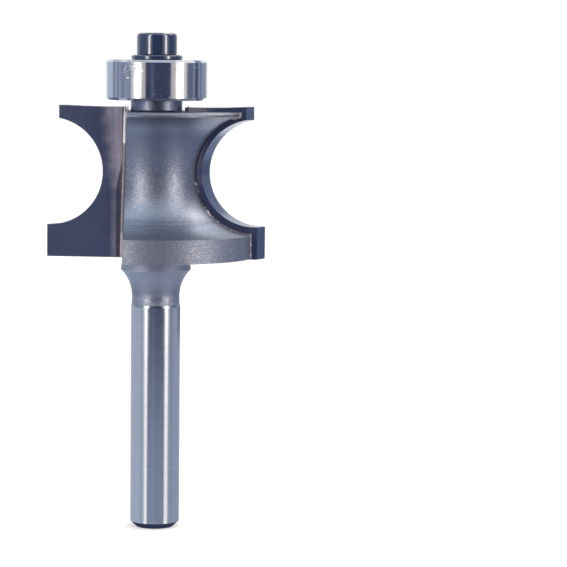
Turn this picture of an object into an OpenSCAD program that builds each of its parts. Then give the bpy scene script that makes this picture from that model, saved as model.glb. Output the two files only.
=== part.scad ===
// Two-flute bead router bit with brazed carbide tips and a ball bearing guide on its end.
// Millimetres. The origin is the centre of the shank's end face, and +Z runs up the axis to the guide.
// The cutting faces look along -Y on the -X side and along +Y on the +X side.

/* [Shank] */
// Diameter of the ground shank that the collet grips
shank_d = 6.35; // [6:0.05:12.7]
// Length of the ground shank
shank_len = 28.3; // [20:0.1:45]
// Width of the chamfer round the shank's end
end_chamfer_w = 0.85; // [0.3:0.05:1.8]
// Height of the chamfer round the shank's end
end_chamfer_h = 0.75; // [0.3:0.05:2]
// Depth of the turned relief above the ground length
relief_depth = 0.16; // [0.02:0.01:0.3]

/* [Flare] */
// Height from the ground shank to the underside of the cutter
flare_len = 6.0; // [5:0.1:10]
// Length of the straight relief below the flare
relief_len = 1.05; // [0.5:0.05:1.2]
// Diameter of the flare's lip
lip_d = 8.8; // [8.3:0.1:9.4]
// Radius of the flare's hollow
flare_r = 4.7; // [4.2:0.05:5.5]
// How much the lip narrows, on the radius, up to the cutter
lip_taper = 0.18; // [0.05:0.01:0.4]
// Height of the lip's narrowing part
lip_h = 1.5; // [0.8:0.1:2]

/* [Cutting profile] */
// Diameter swept by the lower cutting edge
low_cut_d = 27.4; // [26:0.1:32]
// Diameter swept by the upper cutting edge
up_cut_d = 24.4; // [23:0.1:26]
// Diameter swept at the bottom of the bead's hollow
waist_cut_d = 13.4; // [13.2:0.1:15]
// Radius of the bead that the tips cut
bead_r = 6.7; // [6.2:0.05:7.2]
// Height of the tips' lower land, up to the bead
low_land = 4.05; // [3:0.05:6]
// Height of the tips' upper land at its outer corner
up_land = 1.65; // [1.2:0.05:3]
// How far the tips' top edge falls inside its outer corner
top_dip = 0.15; // [0.05:0.05:0.3]
// Width over which the tips' top edge falls
top_dip_w = 3; // [1:0.5:5]

/* [Carbide tips] */
// Thickness of a carbide tip
tip_t = 2.1; // [1.6:0.05:2.5]
// Angle of the relief ground behind the cutting edge
relief_angle = 20; // [8:1:24]
// Distance from the axis to the pocket's inner wall
pocket_x = 3.6; // [3.55:0.05:3.8]
// How far the tips stand out of the flute's floor
tip_proud = 0.15; // [0.05:0.05:0.4]
// Thickness of the braze
braze_t = 0.1; // [0.06:0.01:0.2]
// Width of the braze that shows round the body's edge
braze_fillet = 0.2; // [0.1:0.05:0.3]
// Width of the braze left in the corner of the flute
corner_braze = 0.45; // [0.2:0.05:0.6]

/* [Steel body] */
// How far the lower flange stays inside the lower cutting circle
low_set_in = 1.6; // [1.2:0.1:2.5]
// How far the upper flange stays inside the upper cutting circle
up_set_in = 1.55; // [1.1:0.05:2]
// How much larger the body's hollow is than the bead, on the radius
hollow_clear = 0.85; // [0.6:0.05:1.1]
// How far the hollow's centre lies inside the bead's centre
hollow_inset = 0.65; // [0.4:0.05:0.8]
// How far the hollow's centre lies below the bead's centre
hollow_drop = 0.2; // [0:0.05:0.3]
// How far the tips reach below the body
bottom_gap = 0.1; // [0.05:0.05:0.5]
// How far the tips reach above the body
top_gap = 0.7; // [0.4:0.05:0.9]
// Chamfer round the upper flange's top edge
flange_chamfer = 0.25; // [0.1:0.05:0.35]

/* [Flutes] */
// Distance from the axis to the flute's wall, half way up
flute_x = 3.75; // [3.75:0.05:4]
// Angle between the flute's floor and its wall
flute_angle = 98.4; // [92:0.2:104]
// Lean of the flute's wall towards the axis, going up
flute_tilt = 1.4; // [0:0.1:1.5]

/* [Guide seat] */
// Diameter of the shoulder that the bearing sits on
shoulder_d = 6.42; // [6:0.02:6.8]
// Height from the body up to the bearing
shoulder_h = 1.42; // [0.9:0.01:2.5]
// Radius of the fillet at the shoulder's foot
shoulder_fillet = 0.3; // [0.1:0.05:0.6]
// Radial gap between the spigot and the inner ring
spigot_gap = 0.01; // [0.005:0.005:0.03]
// How far the spigot stops below the bearing's top
spigot_short = 0.2; // [0.1:0.05:0.5]
// Chamfer round the spigot's top edge
spigot_chamfer = 0.2; // [0.1:0.05:0.4]
// Depth of the tapped hole
tap_depth = 10.2; // [9.4:0.1:12]

/* [Bearing] */
// Bore of the inner ring
bearing_bore = 4.7625; // [4.5:0.0125:4.9]
// Outside diameter of the outer ring
bearing_od = 12.7; // [12.2:0.05:15.9]
// Width of both rings
bearing_w = 4.978; // [4.6:0.001:5.5]
// Diameter of a ball
ball_d = 2.381; // [2.2:0.001:2.5]
// Outside diameter of the inner ring
inner_ring_od = 7.1; // [6.9:0.05:7.3]
// Bore of the outer ring, beside the raceway
outer_ring_bore = 10.3; // [10.1:0.05:10.5]
// Gap between a ball and each raceway
race_gap = 0.015; // [0.005:0.005:0.03]
// Chamfer on the outer ring's corners
ring_chamfer = 0.3; // [0.15:0.05:0.5]
// Chamfer at each end of the inner ring's bore
bore_chamfer = 0.15; // [0.1:0.05:0.3]
// Chamfer on the inner ring's outer corners
land_chamfer = 0.1; // [0.05:0.05:0.2]
// Radius of a raceway as a share of the ball's diameter
groove_share = 0.525; // [0.51:0.005:0.54]
// Width of the step in the outer ring that holds a shield
seat_w = 0.45; // [0.3:0.05:0.6]
// Thickness of a shield
shield_t = 0.2; // [0.1:0.05:0.25]
// How deep a shield lies below the ring's face
shield_depth = 0.25; // [0.15:0.05:0.4]
// Gap between a shield and the inner ring
shield_gap = 0.17; // [0.1:0.01:0.25]
// Thickness of the cage's strip
cage_t = 0.2; // [0.15:0.01:0.22]
// Width of the cage's strip
cage_w = 1.1; // [0.9:0.05:1.2]
// Gap between a ball and the cage
cage_gap = 0.05; // [0.03:0.01:0.08]
// Diameter of the cage's rivets
rivet_d = 0.55; // [0.4:0.05:0.6]
// Diameter of a rivet's head
rivet_head_d = 0.7; // [0.65:0.05:0.8]
// Height of a rivet's head
rivet_head_h = 0.12; // [0.08:0.01:0.2]

/* [Screw and washer] */
// Diameter of the washer
washer_d = 6.45; // [5.8:0.05:6.8]
// Thickness of the washer
washer_t = 0.62; // [0.4:0.02:1]
// Radial gap between the washer and the screw
washer_gap = 0.15; // [0.05:0.05:0.3]
// Bevel on the washer's outer edges
washer_edge = 0.15; // [0.05:0.05:0.18]
// Diameter of the screw's thread
screw_d = 3.1; // [2.8:0.05:3.3]
// Length of the screw below its head
screw_len = 9.5; // [8:0.1:9.6]
// Chamfer on the screw's point
screw_point = 0.4; // [0.2:0.1:0.6]
// Diameter of the screw's head
head_d = 5.05; // [4.6:0.05:5.5]
// Height of the screw's head
head_h = 2.75; // [2.4:0.05:3.2]
// Chamfer under the screw's head
head_chamfer = 0.1; // [0.05:0.05:0.2]
// Radius round the head's top edge
head_round = 0.45; // [0.2:0.05:0.6]
// Width across the flats of the hexagon socket
socket_af = 2.38; // [2:0.02:2.5]
// Depth of the hexagon socket
socket_depth = 1.4; // [1:0.1:1.8]

/* [Hidden] */

$fn = 96;
// Overlap that makes cuts run clean through a face
over = 1;
// Overlap of a blend's circle, so that it crosses a line and doesn't only touch it
bite = 0.02;
// Running gap of the screw's thread in its hole, on the radius
thread_gap = 0.02;
// Steps of the curved part of the tips' outline
bead_steps = 56;
// Small flat at the bottom of a drilled cone, as a radius
cone_flat = 0.05;
// Depth of a drilled cone as a share of its radius
drill_slope = tan(31);

// Cutting profile, as distances along the cutting face from the plane of the axis
tip_ahead = tip_t / 2;
low_s = sqrt(pow(low_cut_d / 2, 2) - pow(tip_ahead, 2));
up_s = sqrt(pow(up_cut_d / 2, 2) - pow(tip_ahead, 2));
waist_s = sqrt(pow(waist_cut_d / 2, 2) - pow(tip_ahead, 2));
bead_s = waist_s + bead_r;
tip_in_x = pocket_x + braze_t;
flute_floor_y = tip_proud - tip_ahead;

// Heights up the axis
body_z = shank_len + flare_len;
tip_z = body_z - bottom_gap;
bead_z = tip_z + low_land + bead_r;
bead_top_angle = acos((bead_s - up_s) / bead_r);
tip_top_z = bead_z + bead_r * sin(bead_top_angle) + up_land;
body_top_z = tip_top_z - top_gap;
bearing_z = body_top_z + shoulder_h;
bearing_mid_z = bearing_z + bearing_w / 2;
washer_z = bearing_z + bearing_w;
head_z = washer_z + washer_t;
spigot_top_z = washer_z - spigot_short;

// Steel body
low_r = low_cut_d / 2 - low_set_in;
up_r = up_cut_d / 2 - up_set_in;
hollow_r = bead_r + hollow_clear;
hollow_x = bead_s - hollow_inset;
hollow_z = bead_z - hollow_drop;
core_r = shoulder_d / 2 - shoulder_fillet;
relief_r = shank_d / 2 - relief_depth;
tap_r = screw_d / 2 + thread_gap;

// Bearing
half_w = bearing_w / 2;
pitch_r = (bearing_bore + bearing_od) / 4;
groove_r = ball_d * groove_share;
seat_r = outer_ring_bore / 2 + seat_w;
shield_in_r = inner_ring_od / 2 + shield_gap;
ball_turn = 360 / 7;

// Points of an arc, from angle a0 to a1
function arc(cx, cy, r, a0, a1, n) =
    [for (i = [0:n]) let (a = a0 + (a1 - a0) * i / n) [cx + r * cos(a), cy + r * sin(a)]];

// A ring with a plain rectangular section
module ring(r_in, r_out, h) {
    difference() {
        cylinder(r = r_out, h = h);
        translate([0, 0, -over]) cylinder(r = r_in, h = h + 2 * over);
    }
}

// Cone that a drill leaves below a hole's floor
module drill_point(r) {
    depth = r * drill_slope;
    translate([0, 0, -depth]) cylinder(r1 = cone_flat, r2 = r, h = depth);
}

// Puts its children at one of the seven ball places
module at_ball(i) {
    rotate([0, 0, i * ball_turn]) translate([pitch_r, 0, 0]) children();
}

// Shank, relief and flare, with a core that runs up through the body to the guide seat
module stem() {
    rotate_extrude() difference() {
        polygon(concat(
            [[0, 0], [shank_d / 2 - end_chamfer_w, 0], [shank_d / 2, end_chamfer_h],
             [shank_d / 2, shank_len], [relief_r, shank_len], [relief_r, shank_len + relief_len],
             [lip_d / 2, shank_len + relief_len], [lip_d / 2, body_z - lip_h],
             [lip_d / 2 - lip_taper, body_z], [core_r, body_z], [core_r, body_top_z - over],
             [shoulder_d / 2, body_top_z - over]],
            [[shoulder_d / 2, bearing_z], [bearing_bore / 2 - spigot_gap, bearing_z],
             [bearing_bore / 2 - spigot_gap, spigot_top_z - spigot_chamfer],
             [bearing_bore / 2 - spigot_gap - spigot_chamfer, spigot_top_z], [0, spigot_top_z]]));
        translate([relief_r + flare_r - bite, shank_len + relief_len]) circle(r = flare_r);
    }
}

// Turned body: two flanges with the bead's hollow between them
module turned_body() {
    rotate_extrude() difference() {
        polygon([[0, body_z], [low_r, body_z], [low_r, bead_z], [up_r, bead_z],
                 [up_r, body_top_z - flange_chamfer], [up_r - flange_chamfer, body_top_z],
                 [0, body_top_z]]);
        translate([hollow_x, hollow_z]) circle(r = hollow_r);
    }
}

// Fillet at the foot of the bearing's shoulder
module shoulder_foot() {
    rotate_extrude() polygon(concat(
        [[core_r, body_top_z - over], [shoulder_d / 2 + shoulder_fillet, body_top_z - over]],
        arc(shoulder_d / 2 + shoulder_fillet, body_top_z + shoulder_fillet, shoulder_fillet, 270, 180, 5),
        [[core_r, body_top_z + shoulder_fillet]]));
}

// Puts children drawn in plan in one flute, leaning as its wall leans
module lean_with_flute() {
    height = body_top_z - body_z;
    translate([0, 0, body_z + height / 2]) rotate([0, flute_tilt, 0])
        translate([0, 0, -height / 2 - over]) linear_extrude(height + 2 * over) children();
}

// Space milled away in front of one cutting face
module flute() {
    reach = low_cut_d;
    lean_with_flute() polygon([[-flute_x, flute_floor_y], [-reach, flute_floor_y],
        [-reach, flute_floor_y - reach], [-flute_x + reach * tan(flute_angle - 90), flute_floor_y - reach]]);
}

// Slot that seats one tip and its braze
module pocket() {
    translate([-low_cut_d, -tip_ahead, tip_z])
        cube([low_cut_d - pocket_x, tip_t + braze_t, tip_top_z - tip_z + over]);
}

module cutter_body() {
    color([0.56, 0.59, 0.65]) difference() {
        union() {
            difference() {
                turned_body();
                for (a = [0, 180]) rotate([0, 0, a]) flute();
            }
            stem();
            shoulder_foot();
        }
        for (a = [0, 180]) rotate([0, 0, a]) pocket();
        translate([0, 0, spigot_top_z - tap_depth]) cylinder(r = tap_r, h = tap_depth + over);
        translate([0, 0, spigot_top_z - tap_depth]) drill_point(tap_r);
    }
}

// Outline of the cutting edge, drawn square to the relief's slanted direction
module tip_outline() {
    shrink = cos(relief_angle);
    edge = concat([[low_s, tip_z], [low_s, bead_z - bead_r]],
                  arc(bead_s, bead_z, bead_r, 270, 180 - bead_top_angle, bead_steps),
                  [[up_s, tip_top_z], [up_s - top_dip_w, tip_top_z - top_dip]]);
    polygon(concat([for (p = edge) [-p[0] * shrink, p[1]]],
                   [[over - tip_in_x * shrink, tip_top_z - top_dip], [over - tip_in_x * shrink, tip_z]]));
}

// Carbide tip: a flat plate whose whole outline is relieved behind the cutting face
module carbide_tip() {
    color([0.30, 0.34, 0.44]) intersection() {
        translate([0, -tip_ahead, 0]) rotate([90, 0, -relief_angle])
            translate([0, 0, -low_cut_d / 2]) linear_extrude(low_cut_d) tip_outline();
        translate([-low_cut_d, -tip_ahead, tip_z - over])
            cube([low_cut_d - tip_in_x, tip_t, tip_top_z - tip_z + 2 * over]);
    }
}

// Turned body's outline grown by the fillet that the braze leaves
module braze_envelope() {
    rotate_extrude() difference() {
        polygon([[0, tip_z], [low_r + braze_fillet, tip_z], [low_r + braze_fillet, bead_z],
                 [up_r + braze_fillet, bead_z], [up_r + braze_fillet, body_top_z], [0, body_top_z]]);
        translate([hollow_x, hollow_z]) circle(r = hollow_r - braze_fillet);
    }
}

// Hollow fillet of braze in the corner between a cutting face and the flute's wall
module corner_fillet() {
    wall = [sin(flute_angle - 90), -cos(flute_angle - 90)];
    on_wall = [-flute_x, -tip_ahead] + corner_braze * wall;
    on_tip = [-flute_x - corner_braze, -tip_ahead];
    half = flute_angle / 2;
    r = corner_braze * tan(half);
    centre = on_tip - [0, r];
    difference() {
        lean_with_flute() polygon(concat([[-flute_x, flute_floor_y], [on_tip[0], flute_floor_y]],
            arc(centre[0], centre[1], r, 90, flute_angle - 90, 6)));
        translate([-low_cut_d, -tip_ahead, tip_z - over])
            cube([low_cut_d - tip_in_x, tip_t, tip_top_z - tip_z + 2 * over]);
    }
}

// Braze behind a tip, along its inner edge and in the corner in front of it
module braze_layer() {
    height = body_top_z - tip_z + over;
    color([0.80, 0.76, 0.66]) intersection() {
        union() {
            translate([-low_cut_d, tip_ahead, tip_z]) cube([low_cut_d - pocket_x, braze_t, height]);
            translate([-tip_in_x, -tip_ahead, tip_z]) cube([braze_t, tip_t + braze_t, height]);
            corner_fillet();
        }
        braze_envelope();
    }
}

module bearing_inner_ring() {
    race_r = pitch_r - ball_d / 2 - race_gap + groove_r;
    r_in = bearing_bore / 2;
    r_out = inner_ring_od / 2;
    color([0.72, 0.74, 0.78]) translate([0, 0, bearing_mid_z]) rotate_extrude() difference() {
        polygon([[r_in + bore_chamfer, -half_w], [r_out - land_chamfer, -half_w],
                 [r_out, land_chamfer - half_w], [r_out, half_w - land_chamfer],
                 [r_out - land_chamfer, half_w], [r_in + bore_chamfer, half_w],
                 [r_in, half_w - bore_chamfer], [r_in, bore_chamfer - half_w]]);
        translate([race_r, 0]) circle(r = groove_r);
    }
}

module bearing_outer_ring() {
    race_r = pitch_r + ball_d / 2 + race_gap - groove_r;
    r_out = bearing_od / 2;
    seat_z = half_w - shield_depth - shield_t;
    color([0.72, 0.74, 0.78]) translate([0, 0, bearing_mid_z]) rotate_extrude() difference() {
        polygon([[outer_ring_bore / 2, -seat_z], [seat_r, -seat_z], [seat_r, -half_w],
                 [r_out - ring_chamfer, -half_w], [r_out, ring_chamfer - half_w],
                 [r_out, half_w - ring_chamfer], [r_out - ring_chamfer, half_w],
                 [seat_r, half_w], [seat_r, seat_z], [outer_ring_bore / 2, seat_z]]);
        translate([race_r, 0]) circle(r = groove_r);
    }
}

module ball(i) {
    color([0.80, 0.82, 0.85]) translate([0, 0, bearing_mid_z]) at_ball(i) sphere(r = ball_d / 2);
}

// One half of the pressed strip cage: flat lands with a cup over each ball
module cage_half() {
    difference() {
        intersection() {
            union() {
                cylinder(r = pitch_r + cage_w, h = cage_t);
                for (i = [0:6]) at_ball(i) sphere(r = ball_d / 2 + cage_gap + cage_t);
            }
            ring(pitch_r - cage_w / 2, pitch_r + cage_w / 2, ball_d);
        }
        for (i = [0:6]) {
            at_ball(i) sphere(r = ball_d / 2 + cage_gap);
            at_ball(i + 0.5) translate([0, 0, -over]) cylinder(d = rivet_d, h = 2 * over);
        }
    }
}

module cage_upper_half() {
    color([0.62, 0.60, 0.55]) translate([0, 0, bearing_mid_z]) cage_half();
}

module cage_lower_half() {
    color([0.62, 0.60, 0.55]) translate([0, 0, bearing_mid_z]) mirror([0, 0, 1]) cage_half();
}

// Rivets that hold the two halves of the cage together, one between each two balls
module cage_rivets() {
    color([0.62, 0.60, 0.55]) translate([0, 0, bearing_mid_z]) for (i = [0:6]) at_ball(i + 0.5) {
        for (z = [-cage_t - rivet_head_h, cage_t])
            translate([0, 0, z]) cylinder(d = rivet_head_d, h = rivet_head_h);
        translate([0, 0, -cage_t - rivet_head_h / 2]) cylinder(d = rivet_d, h = 2 * cage_t + rivet_head_h);
    }
}

// Pressed shield: a flat washer whose outer edge turns up against the ring
module shield() {
    rim_z = shield_t + shield_depth / 2;
    rim_r = seat_r - shield_t;
    color([0.60, 0.62, 0.66]) rotate_extrude()
        polygon([[shield_in_r, 0], [seat_r, 0], [seat_r, rim_z], [rim_r, rim_z],
                 [rim_r - shield_t / 2, shield_t], [shield_in_r, shield_t]]);
}

module shield_upper() {
    translate([0, 0, washer_z - shield_depth - shield_t]) shield();
}

module shield_lower() {
    translate([0, 0, bearing_z + shield_depth + shield_t]) mirror([0, 0, 1]) shield();
}

module guide_washer() {
    hole_r = screw_d / 2 + washer_gap;
    r_out = washer_d / 2;
    color([0.10, 0.11, 0.14]) translate([0, 0, washer_z]) rotate_extrude()
        polygon([[hole_r, 0], [r_out - washer_edge, 0], [r_out, washer_edge],
                 [r_out, washer_t - washer_edge], [r_out - washer_edge, washer_t], [hole_r, washer_t]]);
}

// Socket head screw, with its thread as a plain shank
module guide_screw() {
    socket_r = socket_af / 2 / cos(30);
    color([0.10, 0.11, 0.14]) translate([0, 0, head_z]) difference() {
        rotate_extrude() polygon(concat(
            [[0, -screw_len], [screw_d / 2 - screw_point, -screw_len],
             [screw_d / 2, screw_point - screw_len], [screw_d / 2, 0],
             [head_d / 2 - head_chamfer, 0], [head_d / 2, head_chamfer]],
            arc(head_d / 2 - head_round, head_h - head_round, head_round, 0, 90, 6),
            [[0, head_h]]));
        translate([0, 0, head_h - socket_depth]) cylinder(r = socket_r, h = socket_depth + over, $fn = 6);
        translate([0, 0, head_h - socket_depth]) drill_point(socket_af / 2);
    }
}

cutter_body();
carbide_tip();  // carbide_tip_1
rotate([0, 0, 180]) carbide_tip();  // carbide_tip_2
braze_layer();  // braze_layer_1
rotate([0, 0, 180]) braze_layer();  // braze_layer_2
bearing_inner_ring();
bearing_outer_ring();
ball(0);  // ball_1
ball(1);  // ball_2
ball(2);  // ball_3
ball(3);  // ball_4
ball(4);  // ball_5
ball(5);  // ball_6
ball(6);  // ball_7
cage_lower_half();
cage_upper_half();
cage_rivets();
shield_lower();
shield_upper();
guide_washer();
guide_screw();
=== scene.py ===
# %% [markdown]
# A bead-cutting router bit, dressed for a studio photograph
#
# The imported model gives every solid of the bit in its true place, in metres. This lesson leaves the
# turned steel, the bearing rings and the balls as they are, and gives them the finishes that a maker
# would see: a ground shank, a bead-blasted body, ground carbide, silver braze and blackened steel.
# Pieces whose real surface is finer than the solid, such as the screw's thread, are worked out anew.

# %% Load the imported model
import math

import bpy
import numpy as np
from mathutils import Matrix, Vector


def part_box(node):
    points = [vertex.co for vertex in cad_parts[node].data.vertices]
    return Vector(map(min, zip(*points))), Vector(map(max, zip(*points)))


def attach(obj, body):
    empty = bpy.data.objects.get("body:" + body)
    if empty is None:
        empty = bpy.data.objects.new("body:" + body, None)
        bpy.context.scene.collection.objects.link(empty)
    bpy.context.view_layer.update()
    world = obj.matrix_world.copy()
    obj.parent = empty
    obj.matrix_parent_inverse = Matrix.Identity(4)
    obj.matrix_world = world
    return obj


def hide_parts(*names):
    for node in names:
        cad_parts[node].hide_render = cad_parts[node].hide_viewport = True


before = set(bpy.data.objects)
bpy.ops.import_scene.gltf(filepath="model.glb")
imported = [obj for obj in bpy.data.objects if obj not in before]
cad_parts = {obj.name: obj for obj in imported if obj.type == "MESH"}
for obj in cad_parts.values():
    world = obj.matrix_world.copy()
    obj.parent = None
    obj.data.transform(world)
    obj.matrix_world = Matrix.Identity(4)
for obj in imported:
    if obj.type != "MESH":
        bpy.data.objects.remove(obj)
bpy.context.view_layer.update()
MM = 0.001
PER_MM = 1.0 / MM

# %% [markdown]
# The heights of the main parts come from the boxes of the solids, so that everything made here stays
# with them. The other sizes are the turner's and the grinder's, in millimetres, as the part was drawn.
# PAST_BODY is a height above the body and the tips, for a finish that has no upper end.

# %% Sizes to build on
def ends(name):
    """Heights of the lower and the upper end of a solid, in millimetres."""
    low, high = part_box(name)
    return low[2] / MM, high[2] / MM


TIP_BOTTOM, TIP_TOP = ends("carbide_tip_1")
HEAD_BOTTOM = ends("guide_washer")[1]
HEAD_TOP = ends("guide_screw")[1]
END_CHAMFER = 0.72
SHANK_TOP = 28.3
BODY_BOTTOM = TIP_BOTTOM + 0.1
FLANGE_TOP = BODY_BOTTOM + 3.0
BODY_TOP = TIP_TOP - 0.7
PAST_BODY = 60.0
print("tips from", round(TIP_BOTTOM, 2), "to", round(TIP_TOP, 2), "mm up the axis")

# %% [markdown]
# Camera
#
# A camera is a place, a heading and a lens. The photograph was taken from a little to the right of the
# bit's front and slightly above it, through a long lens. The lens points a little to the right of the
# bit and down at it, so that the bit stands left of the middle. A camera could be turned by its three
# angles, but here its own right, up and backward directions are worked out and written as the columns of
# its matrix, because pan, tilt and roll then act one after the other as they do on a tripod.

# %% Camera
def studio_camera(azimuth, distance, height, pan, tilt, roll, lens):
    """Camera at an azimuth round the axis, panned to the right, tilted down and then rolled."""
    place = np.array([distance * math.sin(azimuth), -distance * math.cos(azimuth), height])
    heading = azimuth - pan
    ahead = np.array([-math.sin(heading), math.cos(heading), 0.0])
    right = np.array([math.cos(heading), math.sin(heading), 0.0])
    look = math.cos(tilt) * ahead - np.array([0.0, 0.0, math.sin(tilt)])
    up = math.sin(tilt) * ahead + np.array([0.0, 0.0, math.cos(tilt)])
    side = math.cos(roll) * right + math.sin(roll) * up
    top = math.cos(roll) * up - math.sin(roll) * right
    camera = bpy.data.objects.new("studio_camera", bpy.data.cameras.new("studio_camera"))
    camera.matrix_world = Matrix([
        [side[0], top[0], -look[0], place[0] * MM],
        [side[1], top[1], -look[1], place[1] * MM],
        [side[2], top[2], -look[2], place[2] * MM],
        [0.0, 0.0, 0.0, 1.0]])
    camera.data.lens = lens
    camera.data.sensor_width = 36.0
    camera.data.clip_start = 0.01
    camera.data.clip_end = 20.0
    bpy.context.scene.collection.objects.link(camera)
    return camera


AZIMUTH = math.radians(8.41)
bpy.context.scene.camera = studio_camera(
    AZIMUTH, distance=290.28, height=59.29, pan=math.radians(3.177), tilt=math.radians(5.565),
    roll=math.radians(0.6105), lens=146.84)
print("camera at", [round(v / MM, 1) for v in bpy.context.scene.camera.location])

# %% [markdown]
# Mesh helpers
#
# Almost every form here is a grid: one direction runs along a path or round an axis, the other runs over
# a profile. The helper joins the rows of such a grid into faces and can close it in either direction.
# Faces must point outwards, and a skin made by formula can come out inside out. The sum of a x (b x c)
# over the triangles is six times the volume inside, so its sign tells which way they point.

# %% Grid to mesh
def grid_faces(rows, cols, wrap_rows, wrap_cols):
    """Faces of a grid of points, each joining a point to its right, upper right and upper neighbour."""
    r = np.arange(rows if wrap_rows else rows - 1)
    c = np.arange(cols if wrap_cols else cols - 1)
    rr, cc = np.meshgrid(r, c, indexing="ij")
    up = (rr + 1) % rows
    on = (cc + 1) % cols
    quads = np.stack([rr * cols + cc, rr * cols + on, up * cols + on, up * cols + cc], -1)
    return quads.reshape(-1, 4).tolist()


def capped(rows, cols):
    """Faces of a tube of rows of cols points, closed at both ends by one face each."""
    first = np.arange(cols)[::-1].tolist()
    last = np.arange((rows - 1) * cols, rows * cols).tolist()
    return grid_faces(rows, cols, False, True) + [first, last]


def face_outwards(mesh):
    """Turns every face of a closed mesh outwards, by the sign of the volume that the faces enclose."""
    mesh.calc_loop_triangles()
    corners = np.zeros(len(mesh.vertices) * 3)
    mesh.vertices.foreach_get("co", corners)
    index = np.zeros(len(mesh.loop_triangles) * 3, dtype=np.int32)
    mesh.loop_triangles.foreach_get("vertices", index)
    a, b, c = corners.reshape(-1, 3)[index.reshape(-1, 3)].transpose(1, 0, 2)
    if np.einsum("ij,ij->i", a, np.cross(b, c)).sum() < 0:
        mesh.flip_normals()


def new_piece(name, points, faces):
    """Object in the scene whose mesh has these faces on these points, given in millimetres."""
    mesh = bpy.data.meshes.new(name)
    mesh.from_pydata((np.asarray(points, float) * MM).reshape(-1, 3).tolist(), [], faces)
    piece = bpy.data.objects.new(name, mesh)
    bpy.context.scene.collection.objects.link(piece)
    return piece


def shell(name, points, faces, sharp_angle):
    """Closed piece with its faces turned outwards, smooth but for edges sharper than the angle."""
    piece = new_piece(name, points, faces)
    piece.data.validate()
    face_outwards(piece.data)
    piece.data.shade_smooth()
    piece.data.set_sharp_from_angle(angle=math.radians(sharp_angle))
    print(name, len(piece.data.polygons), "faces")
    return piece


print("a grid of 3 by 4 points has", len(grid_faces(3, 4, False, False)), "faces")

# %% [markdown]
# Shader helpers
#
# A finish is a small network of nodes. It could be drawn by hand in the editor, but as code it can be read
# and repeated. These helpers add a node or two, set the sockets and give back the output, so that each
# recipe further down reads as a list of what the surface does.

# %% Node helpers
def node(tree, kind, settings=None, sockets=None):
    """Adds a node, sets its own properties, then fills or links its sockets by name or number."""
    made = tree.nodes.new(kind)
    for key, value in (settings or {}).items():
        setattr(made, key, value)
    for key, value in (sockets or {}).items():
        if isinstance(value, bpy.types.NodeSocket):
            tree.links.new(value, made.inputs[key])
        elif value is not None:
            made.inputs[key].default_value = value
    return made


def maths(tree, operation, a, b=None, c=None, clamp=False):
    """One step of arithmetic on values."""
    settings = {"operation": operation, "use_clamp": clamp}
    return node(tree, "ShaderNodeMath", settings, {0: a, 1: b, 2: c}).outputs[0]


def vectors(tree, operation, a, b=None):
    """One step of arithmetic on vectors, with the result as a vector or, where it is a number, as Value."""
    return node(tree, "ShaderNodeVectorMath", {"operation": operation}, {0: a, 1: b}).outputs


def blend_colour(tree, share, a, b):
    """Colour that goes from a to b as the share goes from 0 to 1."""
    made = node(tree, "ShaderNodeMix", {"data_type": "RGBA"}, {"Factor": share, 6: a, 7: b})
    return made.outputs[2]


def blend_value(tree, share, a, b):
    """Value that goes from a to b as the share goes from 0 to 1."""
    made = node(tree, "ShaderNodeMix", {"data_type": "FLOAT"}, {"Factor": share, 2: a, 3: b})
    return made.outputs[0]


def lay(tree, under, mask, share, colour):
    """Lays a colour over another one: under + mask times share times (colour - under)."""
    return blend_colour(tree, maths(tree, "MULTIPLY", mask, share), under, colour)


def spread(tree, value, low, high, to_low=0.0, to_high=1.0):
    """Maps a value's range to another range, smoothly and held at the ends."""
    made = node(tree, "ShaderNodeMapRange", {"interpolation_type": "SMOOTHSTEP"},
                {"Value": value, "From Min": low, "From Max": high, "To Min": to_low, "To Max": to_high})
    return made.outputs[0]


def speckle(tree, vector, scale, detail=3.0, rough=0.55):
    """Soft cloudy noise between about 0 and 1."""
    made = node(tree, "ShaderNodeTexNoise", {"noise_type": "FBM"},
                {"Vector": vector, "Scale": scale, "Detail": detail, "Roughness": rough})
    return made.outputs[0]


print("helpers: node, maths, vectors, blend_colour, blend_value, lay, spread, speckle")

# %% [markdown]
# A texture needs to know where on the piece it is. The object's own coordinates do that here: every piece
# keeps its origin on the bit's own, so they are the same as places on the bit, and a pattern stays in step
# across pieces. A surface's normal tells which way it faces, which picks out chamfers and ground flanks.

# %% Places and directions
def here(tree):
    """Place on the piece, in metres."""
    return node(tree, "ShaderNodeTexCoord").outputs["Object"]


def split(tree, vector):
    """The three parts of a vector."""
    return node(tree, "ShaderNodeSeparateXYZ", None, {0: vector}).outputs


def height_mm(tree):
    """Height up the axis in millimetres."""
    return maths(tree, "MULTIPLY", split(tree, here(tree))[2], PER_MM)


def from_axis(tree, place):
    """Distance from the axis: the length of the place with its height made nought."""
    flat = vectors(tree, "MULTIPLY", place, (1.0, 1.0, 0.0))[0]
    return vectors(tree, "LENGTH", flat)["Value"]


def facing(tree, axis):
    """How squarely the surface faces along an axis: that part of its normal, without its sign."""
    normal = node(tree, "ShaderNodeNewGeometry").outputs["Normal"]
    return maths(tree, "ABSOLUTE", split(tree, normal)[axis])


print("places in metres, heights in millimetres")

# %% [markdown]
# An effect that several finishes share is a shader group: a network with named inputs and outputs that is
# built once and placed in each material with its own values. These groups take and give plain numbers.

# %% Group helpers
def new_group(name, inputs, outputs):
    """Empty shader group with number sockets: inputs with their usual values, outputs by name."""
    tree = bpy.data.node_groups.new(name, "ShaderNodeTree")
    for label, usual in inputs.items():
        socket = tree.interface.new_socket(label, in_out="INPUT", socket_type="NodeSocketFloat")
        socket.default_value = usual
    for label in outputs:
        tree.interface.new_socket(label, in_out="OUTPUT", socket_type="NodeSocketFloat")
    return tree, tree.nodes.new("NodeGroupInput").outputs, tree.nodes.new("NodeGroupOutput").inputs


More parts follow.
